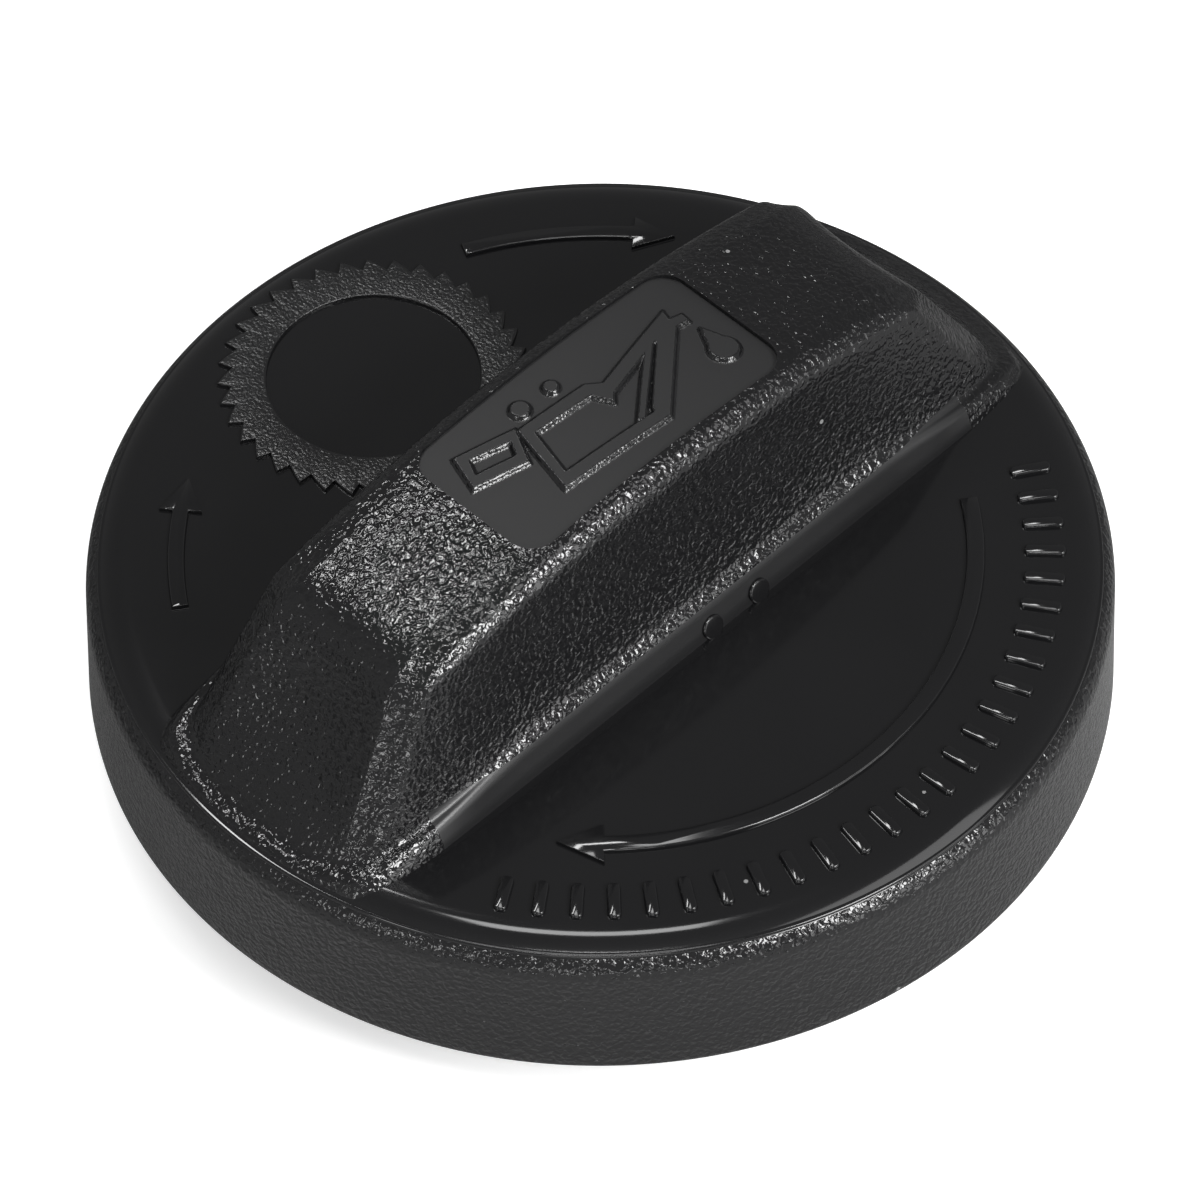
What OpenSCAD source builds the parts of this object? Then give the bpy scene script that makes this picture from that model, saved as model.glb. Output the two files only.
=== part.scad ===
// Oil filler cap for an engine's filler neck: one black nylon moulding, with a wing grip
// moulded across its disc and a bayonet plug under it, and a rubber ring that seals round
// the plug. The origin is on the cap's axis at the plug's free end, which the cap stands on.
// +Z points up through the disc, and the grip runs along X.

/* [Disc and skirt] */
// Diameter of the skirt, below the rounded edge of the disc
rim_d = 70.2; // [66:0.1:80]
// How far the skirt leans out at its lower edge, on each side
skirt_flare = 0.25; // [0:0.05:1]
// Height from the skirt's lower edge to the disc's face
skirt_h = 11.4; // [10:0.1:14]
// Wall of the skirt at its lower edge
skirt_wall = 2.4; // [1.8:0.1:3]
// Thickness of the disc
disc_t = 3; // [2.5:0.1:3.5]
// Radius of the gentle rounding round the disc's face
shoulder_r = 4; // [2:0.1:5]
// Slope at which the gentle rounding ends
shoulder_slope = 36; // [20:1:45]
// Radius of the tighter edge that turns down into the skirt
edge_r = 2; // [1:0.1:2.5]

/* [Grip] */
// Length of the grip at its foot, end to end
grip_l = 67.8; // [62:0.1:68]
// Width of the grip at its foot
grip_w = 21.7; // [20:0.1:26]
// Height of the crown above the disc, at the middle of the grip
crown_h = 15; // [12:0.1:18]
// How much lower the crown is where the end ramps start
crown_fall = 2.7; // [0:0.1:4]
// Length of the crown between the end ramps
crown_l = 48.4; // [42:0.1:50]
// Width of the crown at the middle of the grip
crown_w = 14.7; // [14:0.1:15]
// How much narrower the crown is at its ends
crown_taper = 0.8; // [0:0.1:1.4]
// Length that is cut off each corner of the crown
corner_cut = 1.6; // [0.8:0.1:2.5]
// Height of the lip round the grip's foot, along the flanks
lip_h = 2.5; // [1:0.1:3]
// How far that lip leans in over its height
lip_lean = 0.85; // [0.3:0.05:1]
// Width of the ledge between the lip and the foot of the flank
ledge_w = 0.6; // [0.3:0.1:0.8]
// How much that ledge climbs
ledge_h = 0.5; // [0.2:0.1:0.8]
// Height of the pad on which the ramps run out over the disc's rounding, at the grip's ends
pad_h = 0.15; // [0.1:0.05:0.4]
// Width of that pad
pad_w = 1.2; // [0.6:0.1:2]
// How far the pad's edge leans in
pad_lean = 0.2; // [0.1:0.05:0.8]
// Direction, turned from the grip's length, past which the flank is fully scooped out
scoop_start = 32; // [24:1:45]
// Depth of the hollow dished into each end ramp
ramp_dish = 0.9; // [0:0.1:1.2]
// Depth of the hollow in the facet on each corner of the grip
facet_dish = 0.3; // [0:0.05:0.5]
// Size of the rounding along the crown's long edges
crest_round = 2.5; // [1:0.1:2.6]
// Size of the rounding where the crown turns down into an end ramp
crest_end_round = 3.4; // [1:0.1:4]

/* [Sign panel] */
// Length of the sunk panel in the crown
panel_l = 24.4; // [16:0.1:30]
// Width of the sunk panel
panel_w = 11.8; // [8:0.1:12]
// Corner radius of the sunk panel
panel_corner = 2; // [0.5:0.1:3]
// Depth of the sunk panel
panel_depth = 0.35; // [0.2:0.05:0.6]

/* [Label ring] */
// Outside diameter of the raised ring beside the grip
ring_d = 19.6; // [16:0.1:19.8]
// Diameter of the bare round place inside that ring
ring_hole_d = 14.6; // [8:0.1:15]
// Distance from the cap's axis to the middle of the ring
ring_x = 22; // [21.5:0.1:22]
// How far the ring stands up from the disc
ring_h = 0.3; // [0.2:0.05:0.6]

/* [Plug] */
// Outside diameter of the plug's barrel
plug_d = 38; // [34:0.1:40]
// Wall of the plug's barrel
plug_wall = 2.6; // [2:0.1:3.5]
// How far the plug reaches below the skirt
plug_reach = 7; // [5:0.1:12]
// Length of the plain land at the plug's free end, its chamfer included
pilot_l = 3; // [2:0.1:4]
// Step from the barrel down to the plain land, on each side
pilot_step = 0.4; // [0.2:0.1:0.8]
// Chamfer at the plug's free end
plug_chamfer = 0.4; // [0.2:0.1:0.8]
// Number of bayonet lugs
lug_count = 2; // [2:1:3]
// Angle that one lug covers
lug_angle = 64; // [30:1:80]
// How far a lug stands out from the barrel
lug_out = 3; // [2:0.1:3.5]
// Height of a lug at its thin end
lug_thin = 2.2; // [1.5:0.1:3]
// How much the cam on top of a lug climbs to its thick end
lug_climb = 1.2; // [0.4:0.1:1.8]

/* [Seal] */
// Width of the sealing ring's section
seal_w = 4; // [3:0.1:4.5]
// Thickness of the sealing ring
seal_t = 3; // [2:0.1:3.5]
// Corner radius of the ring's section
seal_corner = 0.8; // [0.3:0.1:0.95]
// Gap between the ring and the walls beside it
seal_gap = 0.15; // [0.05:0.05:0.3]
// Thickness of the round wall that keeps the ring in place
keeper_wall = 1.4; // [1:0.1:2]
// Height of that wall
keeper_h = 1.8; // [1:0.1:2]

/* [Ribs and cores] */
// Number of stiffening ribs under the disc
rib_count = 12; // [8:4:16]
// Thickness of a rib
rib_t = 1.4; // [1:0.1:1.8]
// Depth of a rib below the disc
rib_h = 3; // [2:0.1:4]
// Wall left between the grip's outside and its cores
grip_wall = 2.5; // [2:0.1:3]
// Thickness of the webs across the grip's core
web_t = 1.6; // [1.2:0.1:2.4]

/* [Hidden] */

// Levels along the axis
skirt_z = plug_reach;
face_z = skirt_z + skirt_h;
under_z = face_z - disc_t;
seal_z = under_z - seal_t;
lug_z = pilot_l + 0.2;

// Radii round the axis
rim_r = rim_d / 2;
foot_skirt_r = rim_r + skirt_flare;
edge_x = rim_r - edge_r;
flat_r = rim_r - edge_r * (1 - sin(shoulder_slope)) - shoulder_r * sin(shoulder_slope);
shoulder_fall = shoulder_r * (1 - cos(shoulder_slope));
edge_fall = shoulder_fall + edge_r * cos(shoulder_slope);
skirt_in_r = rim_r - skirt_wall;
plug_r = plug_d / 2;
bore_r = plug_r - plug_wall;
pilot_r = plug_r - pilot_step;
seal_in_r = plug_r + seal_gap;
seal_out_r = seal_in_r + seal_w;
keeper_in_r = seal_out_r + seal_gap;
keeper_out_r = keeper_in_r + keeper_wall;

// Small allowances
skirt_break = 0.4;      // broken edge at the bottom of the skirt
sink = 1.2;             // depth that a joined form reaches into its neighbour
foot_dip = 0.1;         // depth under the disc's face at which the grip's foot starts
least_sine = 0.01;      // keeps outlines finite along the grip
shoulder_reach = 0.9;   // share of the shoulder's radius over which its fall is followed
spare = 1;              // length that a cutter runs past what it cuts
bore_clear = 0.5;       // how far the grip's core stays inside the plug's bore
keeper_clear = 0.6;     // how far an end pocket stays outside the ring keeper
pocket_rise = 0.4;      // how far an end pocket's low side reaches into the disc

// Shape of the flanks and end ramps between the ledge and the crown: how much of the way is
// a straight slope, and how quickly the hollow at the bottom of the rest turns upright
flank_straight = 0.5;
flank_turn = 3.6;
ramp_straight = 0.92;
ramp_turn = 4;

// Rounding of the corners in plan, at the foot, on the lip and at the crown
foot_corner = 7;
lip_corner = 9;
crown_corner = 0.7;

// Shares of the roundings' sizes at which they run out in the crown, and of the angle the
// ramp covers at which the lip starts to rise
crest_in = 0.95;
crest_end_in = 0.9;
lip_rise = 0.6;
// Sine below which the lip and the ledge no longer widen toward the grip's ends
wide_sine = 0.3;

// Mesh of the grip: stations in a quarter turn, and levels from the ledge up
ramp_stations = 6;
cut_stations = 4;
flank_stations = 12;
slope_levels = 7;
crest_levels = 5;
// Crowds the levels toward the ledge
level_power = 1.4;
crown_rings = 3;
crown_steps = 16;

shell_colour = [0.13, 0.13, 0.135];
rubber_colour = [0.2, 0.2, 0.21];

function mix(a, b, t) = a + (b - a) * t;

// Goes from 0 to 1 as t does, with a gentle start and finish
function ease(t) = let(u = min(max(t, 0), 1)) u * u * (3 - 2 * u);

// Smaller of a and b, with the corner between them rounded over a width k
function soft_min(a, b, k) = min(a, b) - pow(max(k - abs(a - b), 0), 2) / (4 * k);

// How far the disc's face has fallen at a distance r from the axis
function disc_fall(r) =
    let(beyond = min(max(r - flat_r, 0), shoulder_r * shoulder_reach))
    shoulder_r - sqrt(pow(shoulder_r, 2) - pow(beyond, 2));

// Plan outlines of the grip as radii in the direction a, which is 0 along the grip. side_in
// and end_in move the crown's sides and ends in
function bar_radius(a, corner) = soft_min(grip_l / 2, grip_w / 2 / max(sin(a), least_sine), corner);
function crown_half_w(x) = crown_w / 2 - crown_taper / 2 * pow(2 * x / crown_l, 2);
function flank_x(a) = min(crown_w / 2 / max(tan(a), least_sine), crown_l / 2);
function crown_side(a, side_in) = (crown_half_w(flank_x(a)) - side_in) / max(sin(a), least_sine);
function crown_cut(a, both_in) =
    (crown_l / 2 + crown_half_w(crown_l / 2) - corner_cut - both_in * sin(45)) / (sin(a) + cos(a));
function crown_end(a, end_in) = (crown_l / 2 - end_in) / max(cos(a), least_sine);
function crown_radius(a, side_in = 0, end_in = 0) =
    soft_min(
        soft_min(crown_side(a, side_in), crown_cut(a, side_in + end_in), crown_corner),
        crown_end(a, end_in),
        crown_corner);

// Directions of the two ridges that bound the facet on each corner of the grip
ramp_ridge_a = atan2(crown_half_w(crown_l / 2) - corner_cut, crown_l / 2);
flank_ridge_a = atan2(crown_half_w(crown_l / 2), crown_l / 2 - corner_cut);

// 1 on the end ramp, 0 on the flank, and between them on the corner facet
function ramp_share(a) = min(max((flank_ridge_a - a) / (flank_ridge_a - ramp_ridge_a), 0), 1);

// 1 across the ends and 0 along the scooped flanks
function end_share(a) = ease((scoop_start - a) / (scoop_start - ramp_ridge_a * lip_rise));

// Upper edge of the lip [radius, height]: high along the flanks, down on the disc at the ends
function lip_point(a) =
    let(r = bar_radius(a, lip_corner) - mix(lip_lean / max(sin(a), wide_sine), pad_lean, end_share(a)))
    [r, mix(lip_h, pad_h - disc_fall(r), end_share(a))];

// Corner behind the lip, where the flank or the ramp starts to rise
function ledge_point(a) =
    let(r = lip_point(a)[0] - mix(ledge_w / max(sin(a), wide_sine), pad_w, end_share(a)))
    [r, mix(lip_h + ledge_h, pad_h - disc_fall(r), end_share(a))];

// Height of the crown above the disc's face at a distance x from the middle
function crown_z(x) = crown_h - crown_fall * pow(2 * x / crown_l, 2);

// Share of the way from the ledge's outline to the crown's at a share h of the height
function slope_share(h, straight, turn) = straight * h + (1 - straight) * (1 - pow(1 - h, turn));

// One point [radius, height] on the slope in the direction a. The dish of the ramp is deepest
// half way up, and the facet's hollow keeps its depth over most of the height
function slope_point(a, h) =
    let(top_r = crown_radius(a),
        top_z = crown_z(top_r * cos(a)),
        low = ledge_point(a),
        middle = 1 - pow(min(a / ramp_ridge_a, 1), 2),
        scoop = 1 - pow(1 - min(max((a - flank_ridge_a) / (scoop_start - flank_ridge_a), 0), 1), 2),
        ramp = mix(h, slope_share(h, ramp_straight, ramp_turn), middle),
        flank = mix(h, slope_share(h, flank_straight, flank_turn), scoop),
        share = ramp_share(a),
        dish = ramp_dish * middle * 4 * h * (1 - h),
        hollow = facet_dish * 4 * share * (1 - share) * (1 - pow(2 * h - 1, 4)))
    [mix(low[0], top_r, mix(flank, ramp, share)) - dish - hollow, mix(low[1], top_z, h)];

// The rounded crest is a curve drawn from the slope, by way of the sharp corner, to the crown
function crest_point(a, t) =
    let(size = mix(crest_round, crest_end_round, ramp_share(a)),
        low = slope_point(a, 1 - size / crown_h),
        corner = slope_point(a, 1),
        high_r = crown_radius(a, crest_round * crest_in, crest_end_round * crest_end_in),
        high = [high_r, crown_z(high_r * cos(a))])
    low * (1 - t) * (1 - t) + corner * 2 * t * (1 - t) + high * t * t;

// Section of the grip in the direction a, from inside the disc up to the edge of the crown
function section(a) =
    let(foot = bar_radius(a, foot_corner),
        top_h = 1 - mix(crest_round, crest_end_round, ramp_share(a)) / crown_h)
    concat(
        [[foot, -sink], [foot, -disc_fall(foot) - foot_dip], lip_point(a)],
        [for (i = [0 : slope_levels - 1]) slope_point(a, top_h * pow(i / slope_levels, level_power))],
        [for (i = [0 : crest_levels]) crest_point(a, i / crest_levels)]);

// Directions of the stations round the grip, closer together at its corners
function quarter() = concat(
    [for (i = [0 : ramp_stations - 1]) ramp_ridge_a * i / ramp_stations],
    [for (i = [0 : cut_stations - 1]) mix(ramp_ridge_a, flank_ridge_a, i / cut_stations)],
    [for (i = [0 : flank_stations - 1])
        atan2(crown_half_w(crown_l / 2), (crown_l / 2 - corner_cut) * (1 - i / flank_stations))]);

// The grip as one closed skin: rings of stations from its sunk foot to the middle of its crown
module grip() {
    q = quarter();
    n = len(q);
    count = 4 * n;
    rows = [for (a = q) section(a)];
    end_row = section(90);
    levels = len(end_row);
    // Station j of the whole turn, folded back on the quarter that was worked out
    fold = [for (j = [0 : count - 1])
        let(k = floor(j / n), i = j % n)
        k % 2 == 0 ? i : n - i];
    turn_a = [for (j = [0 : count - 1])
        let(k = floor(j / n), a = fold[j] == n ? 90 : q[fold[j]])
        k % 2 == 0 ? 90 * k + a : 90 * (k + 1) - a];
    row = [for (j = [0 : count - 1]) fold[j] == n ? end_row : rows[fold[j]]];
    skin = [for (l = [0 : levels - 1]) for (j = [0 : count - 1])
        [row[j][l][0] * cos(turn_a[j]), row[j][l][0] * sin(turn_a[j]), row[j][l][1]]];
    crown = [for (c = [1 : crown_rings]) for (j = [0 : count - 1])
        let(r = row[j][levels - 1][0] * (1 - c / (crown_rings + 1)), x = r * cos(turn_a[j]))
        [x, r * sin(turn_a[j]), crown_z(x)]];
    points = concat(skin, crown, [[0, 0, crown_z(0)], [0, 0, -sink]]);
    rings = levels + crown_rings;
    top = rings * count;
    faces = concat(
        [for (l = [0 : rings - 2]) for (j = [0 : count - 1])
            let(a = l * count + j, b = l * count + (j + 1) % count)
            [a, a + count, b + count]],
        [for (l = [0 : rings - 2]) for (j = [0 : count - 1])
            let(a = l * count + j, b = l * count + (j + 1) % count)
            [a, b + count, b]],
        [for (j = [0 : count - 1])
            [(rings - 1) * count + j, top, (rings - 1) * count + (j + 1) % count]],
        [for (j = [0 : count - 1]) [j, (j + 1) % count, top + 1]]);
    translate([0, 0, face_z])
        polyhedron(points = points, faces = faces, convexity = 4);
}

// Half section of the disc, skirt, plug and ring keeper, turned once round the axis
module shell() {
    shoulder = [for (i = [0 : 5])
        let(a = shoulder_slope * i / 5)
        [flat_r + shoulder_r * sin(a), face_z - shoulder_r * (1 - cos(a))]];
    edge = [for (i = [1 : 6])
        let(a = mix(shoulder_slope, 90, i / 6))
        [edge_x + edge_r * sin(a), face_z - edge_fall + edge_r * cos(a)]];
    outside = concat([[0, face_z]], shoulder, edge);
    skirt = [
        [foot_skirt_r, skirt_z + skirt_break],
        [foot_skirt_r - skirt_break, skirt_z],
        [foot_skirt_r - skirt_wall, skirt_z],
        [skirt_in_r, under_z]];
    keeper = [
        [keeper_out_r, under_z],
        [keeper_out_r, under_z - keeper_h],
        [keeper_in_r, under_z - keeper_h],
        [keeper_in_r, under_z]];
    plug = [
        [plug_r, under_z],
        [plug_r, pilot_l],
        [pilot_r, pilot_l],
        [pilot_r, plug_chamfer],
        [pilot_r - plug_chamfer, 0],
        [bore_r, 0],
        [bore_r, under_z],
        [0, under_z]];
    rotate_extrude($fn = 180)
        polygon(concat(outside, skirt, keeper, plug));
}

// One bayonet lug: a sector on the barrel, whose top is a cam that climbs along it
module lug() {
    steps = 8;
    low = lug_z;
    inner = plug_r - plug_wall / 2;
    outer = plug_r + lug_out;
    points = [for (i = [0 : steps])
        let(a = lug_angle * (i / steps - 0.5), high = lug_z + lug_thin + lug_climb * i / steps)
        for (p = [[inner, low], [outer, low], [outer, high], [inner, high]])
            [p[0] * cos(a), p[0] * sin(a), p[1]]];
    sides = [for (i = [0 : steps - 1]) for (k = [0 : 3])
        let(a = 4 * i + k, b = 4 * i + (k + 1) % 4)
        [a, b, b + 4, a + 4]];
    last = 4 * steps;
    ends = [[3, 2, 1, 0], [last, last + 1, last + 2, last + 3]];
    polyhedron(points = points, faces = concat(sides, ends), convexity = 2);
}

// Stiffening rib from the ring keeper out to the skirt
module rib() {
    rotate([90, 0, 0])
        linear_extrude(height = rib_t, center = true)
        polygon([
            [keeper_out_r - keeper_wall / 2, under_z + sink],
            [keeper_out_r - keeper_wall / 2, under_z - rib_h / 2],
            [keeper_out_r, under_z - rib_h / 2],
            [skirt_in_r - rib_h / 2, under_z - rib_h],
            [rim_r - skirt_wall / 2, under_z - rib_h],
            [rim_r - skirt_wall / 2, under_z + sink]]);
}

// Half width of the core at a height above the disc's face: the wall inside the grip's flank
ledge_z = lip_h + ledge_h;
function core_half_w(z) =
    slope_point(90, max(z - ledge_z, 0) / (crown_h - ledge_z))[0] - grip_wall;

// Core of the grip above the plug's bore, left hollow between webs
module middle_core() {
    reach = sqrt(bore_r * bore_r - pow(core_half_w(0), 2)) - bore_clear;
    top = min(crown_z(panel_l / 2) - panel_depth, crown_z(reach)) - grip_wall;
    bay = (2 * reach - 2 * web_t) / 3;
    levels = [for (i = [0 : 4]) mix(ledge_z, top, pow(i / 4, level_power))];
    right = [for (z = levels) [core_half_w(z), z]];
    left = [for (i = [0 : 4]) [-right[4 - i][0], right[4 - i][1]]];
    base = [[-core_half_w(0), -disc_t - spare], [core_half_w(0), -disc_t - spare]];
    for (i = [-1 : 1])
        translate([i * (bay + web_t), 0, face_z])
            rotate([90, 0, 90])
            linear_extrude(height = bay, center = true)
            polygon(concat(base, right, left));
}

// Core under an end ramp, between the ring keeper and the skirt
module end_core() {
    start = keeper_out_r + keeper_clear;
    low = slope_point(0, 0);
    middle = slope_point(0, 0.4);
    // Height at which a straight line, a wall's thickness inside the ramp, meets the core's start
    climb = (middle[1] - low[1]) / (low[0] - middle[0]);
    top_z = low[1] + (low[0] - start) * climb - grip_wall * sqrt(1 + climb * climb);
    width = 2 * (crown_w / 2 - grip_wall / 2);
    translate([0, 0, face_z])
        rotate([90, 0, 0])
        linear_extrude(height = width, center = true)
        polygon([
            [start, -disc_t - spare],
            [low[0] - grip_wall, -disc_t - spare],
            [low[0] - grip_wall, low[1] - disc_t + pocket_rise],
            [start, top_z]]);
}

// Cutter for the sunk panel: a round-cornered outline whose floor follows the crown
module panel_cut() {
    half_l = panel_l / 2;
    half_w = panel_w / 2;
    floor_line = [for (i = [0 : crown_steps])
        let(x = mix(-half_l - spare, half_l + spare, i / crown_steps))
        [x, crown_z(x) - panel_depth]];
    intersection() {
        translate([0, 0, face_z])
            linear_extrude(height = crown_h + spare)
            union() {
                square([panel_l - 2 * panel_corner, panel_w], center = true);
                square([panel_l, panel_w - 2 * panel_corner], center = true);
                for (x = [-1, 1]) for (y = [-1, 1])
                    translate([x * (half_l - panel_corner), y * (half_w - panel_corner)])
                        circle(r = panel_corner, $fn = 48);
            }
        translate([0, 0, face_z])
            rotate([90, 0, 0])
            linear_extrude(height = panel_w + 2 * spare, center = true)
            polygon(concat(floor_line,
                [[half_l + spare, crown_h + spare], [-half_l - spare, crown_h + spare]]));
    }
}

// Raised ring round a bare place on the disc, beside the grip
module label_ring() {
    translate([0, ring_x, face_z - sink / 2])
        difference() {
            cylinder(h = ring_h + sink / 2, d = ring_d, $fn = 144);
            translate([0, 0, -spare])
                cylinder(h = ring_h + sink + spare, d = ring_hole_d, $fn = 144);
        }
}

// The moulding: disc, skirt, grip, plug, lugs, ring keeper and ribs in one piece
module cap_body() {
    color(shell_colour)
    difference() {
        union() {
            shell();
            grip();
            label_ring();
            for (i = [0 : rib_count - 1])
                rotate([0, 0, 360 * (i + 0.5) / rib_count])
                    rib();
            for (i = [0 : lug_count - 1])
                rotate([0, 0, 90 + 360 * i / lug_count])
                    lug();
        }
        panel_cut();
        middle_core();
        for (side = [0, 180])
            rotate([0, 0, side])
                end_core();
    }
}

// Rubber ring that seals against the neck, held up against the disc round the plug
module seal_ring() {
    color(rubber_colour)
    rotate_extrude($fn = 180)
    translate([seal_in_r, seal_z])
    union() {
        translate([seal_corner, 0])
            square([seal_w - 2 * seal_corner, seal_t]);
        translate([0, seal_corner])
            square([seal_w, seal_t - 2 * seal_corner]);
        for (x = [seal_corner, seal_w - seal_corner])
            for (y = [seal_corner, seal_t - seal_corner])
                translate([x, y])
                    circle(r = seal_corner, $fn = 32);
    }
}

cap_body();
seal_ring();
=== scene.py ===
"""Oil filler cap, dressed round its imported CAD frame.

Everything is in metres in the part's own frame: the origin is on the cap's axis at the
plug's free end, +Z goes up through the disc, and the grip runs along X.
"""
import math

import bmesh
import bpy
import numpy as np
from mathutils import Matrix, Vector


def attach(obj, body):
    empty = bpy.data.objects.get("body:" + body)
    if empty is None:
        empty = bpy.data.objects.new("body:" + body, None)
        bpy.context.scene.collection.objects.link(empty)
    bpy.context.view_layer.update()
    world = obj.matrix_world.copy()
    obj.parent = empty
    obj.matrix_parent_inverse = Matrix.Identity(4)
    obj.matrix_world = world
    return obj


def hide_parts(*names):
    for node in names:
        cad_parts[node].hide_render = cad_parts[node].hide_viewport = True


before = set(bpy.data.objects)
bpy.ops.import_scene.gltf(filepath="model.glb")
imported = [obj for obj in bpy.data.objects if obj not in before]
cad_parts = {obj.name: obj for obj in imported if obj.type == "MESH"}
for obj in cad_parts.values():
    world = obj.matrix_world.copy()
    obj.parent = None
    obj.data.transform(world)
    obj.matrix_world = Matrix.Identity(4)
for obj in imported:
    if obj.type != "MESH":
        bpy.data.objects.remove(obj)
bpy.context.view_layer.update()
MM = 0.001

# The camera
#
# It stands where the photograph was taken from: in front of the grip's left end, looking
# down at the disc from half a metre away, with the frame turned a little.
DISC_Z = 18.4
view_azimuth = math.radians(-45)
view_elevation = math.radians(50.12)
view_roll = math.radians(-0.58)
view_distance = 525.0
view_target = Vector((-0.03, 0.03, DISC_Z - 5.55)) * MM
focal_px = 7730
image_px = 1200

away = Vector((math.sin(view_azimuth) * math.cos(view_elevation),
               -math.cos(view_azimuth) * math.cos(view_elevation),
               math.sin(view_elevation)))
eye = Vector((0, 0, DISC_Z * MM)) + away * view_distance * MM
forward = (view_target - eye).normalized()
across = forward.cross(Vector((0, 0, 1))).normalized()
upward = across.cross(forward)
right = across * math.cos(view_roll) + upward * math.sin(view_roll)
above = upward * math.cos(view_roll) - across * math.sin(view_roll)

camera_data = bpy.data.cameras.new("photo_camera")
camera_data.sensor_width = 36
camera_data.lens = focal_px / image_px * camera_data.sensor_width
camera_data.clip_start = 0.01
camera = bpy.data.objects.new("photo_camera", camera_data)
camera.matrix_world = Matrix((
    (right.x, above.x, -forward.x, eye.x),
    (right.y, above.y, -forward.y, eye.y),
    (right.z, above.z, -forward.z, eye.z),
    (0, 0, 0, 1)))
bpy.context.scene.collection.objects.link(camera)
bpy.context.scene.camera = camera
bpy.context.scene.view_settings.view_transform = "Standard"


# Floor and light
#
# A plain pale floor under the cap and long soft boxes round it. The one behind lights the
# crown, the one at the right the crests, the one over the camera the rim of the polished disc.
# Between them the cap mirrors a dim studio and a floor with painted shade on it; the camera
# itself sees a white background.
def new_piece(name, verts, faces, smooth=None):
    """A mesh object from arrays of points in millimetres and faces, smooth up to an angle."""
    mesh = bpy.data.meshes.new(name)
    mesh.from_pydata((np.asarray(verts) * MM).tolist(), [], [list(map(int, f)) for f in faces])
    if smooth is not None:
        mesh.shade_smooth()
        mesh.set_sharp_from_angle(angle=math.radians(smooth))
    piece = bpy.data.objects.new(name, mesh)
    bpy.context.scene.collection.objects.link(piece)
    return piece


def new_material(name):
    """A material with its Principled shader; gives back the material, its nodes and links."""
    material = bpy.data.materials.new(name)
    material.use_nodes = True
    tree = material.node_tree
    return material, tree.nodes, tree.links, tree.nodes["Principled BSDF"]


def maths(nodes, links, operation, *given):
    """A Math node on sockets or numbers; gives back its output."""
    node = nodes.new("ShaderNodeMath")
    node.operation = operation
    for socket, value in zip(node.inputs, given):
        if isinstance(value, (int, float)):
            socket.default_value = value
        else:
            links.new(value, socket)
    return node.outputs[0]


FLOOR_HALF = 3000
PAPER, PAPER_GLOW = 0.78, 0.55           # its grey, and the glow that only the camera sees
# Painted shade: grey is taken off the floor only where the cap mirrors it, more behind the cap
# than before it.
MIRROR_SHADE_BEHIND, MIRROR_SHADE_BEFORE = 0.7, 0.36     # grey that its mirror image in the cap loses
MIRROR_SHADE_TURN = 0.06                         # metres each way in which one turns into the other

floor = new_piece("floor", [(-FLOOR_HALF, -FLOOR_HALF, 0), (FLOOR_HALF, -FLOOR_HALF, 0),
                            (FLOOR_HALF, FLOOR_HALF, 0), (-FLOOR_HALF, FLOOR_HALF, 0)],
                  [(0, 1, 2, 3)])
material, nodes, links, shader = new_material("floor_paper")
shader.inputs["Roughness"].default_value = 0.9
shader.inputs["Specular IOR Level"].default_value = 0.1
shader.inputs["Emission Color"].default_value = (1, 1, 1, 1)
rays = nodes.new("ShaderNodeLightPath")
place = nodes.new("ShaderNodeTexCoord")
front = nodes.new("ShaderNodeVectorMath")
front.operation = "DOT_PRODUCT"
front.inputs[1].default_value = (-0.42, -0.91, 0)
links.new(place.outputs["Object"], front.inputs[0])
# Painted shade on the floor's mirror image: darker behind the cap, lighter before it, for glossy
# rays only.
painted_shade_side = nodes.new("ShaderNodeMapRange")
painted_shade_side.inputs["From Min"].default_value = -MIRROR_SHADE_TURN
painted_shade_side.inputs["From Max"].default_value = MIRROR_SHADE_TURN
painted_shade_side.inputs["To Min"].default_value = MIRROR_SHADE_BEHIND
painted_shade_side.inputs["To Max"].default_value = MIRROR_SHADE_BEFORE
links.new(front.outputs["Value"], painted_shade_side.inputs["Value"])
mirrored_painted_shade = maths(nodes, links, "MULTIPLY", painted_shade_side.outputs["Result"],
                      rays.outputs["Is Glossy Ray"])
links.new(maths(nodes, links, "SUBTRACT", PAPER, mirrored_painted_shade), shader.inputs["Base Color"])
links.new(maths(nodes, links, "MULTIPLY", rays.outputs["Is Camera Ray"], PAPER_GLOW),
          shader.inputs["Emission Strength"])
floor.data.materials.append(material)


def soft_box(name, azimuth, elevation, distance, size, power):
    """An area lamp on a sphere round the disc, turned to face it; metres, degrees and watts."""
    data = bpy.data.lights.new(name, "AREA")
    data.shape = "RECTANGLE"
    data.size, data.size_y = size
    data.energy = power
    lamp = bpy.data.objects.new(name, data)
    a, e = math.radians(azimuth), math.radians(elevation)
    back = Vector((math.sin(a) * math.cos(e), -math.cos(a) * math.cos(e), math.sin(e)))
    turn = back.to_track_quat("Z", "Y").to_matrix().to_4x4()
    lamp.matrix_world = Matrix.Translation(Vector((0, 0, DISC_Z * MM)) + back * distance) @ turn
    bpy.context.scene.collection.objects.link(lamp)


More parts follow.
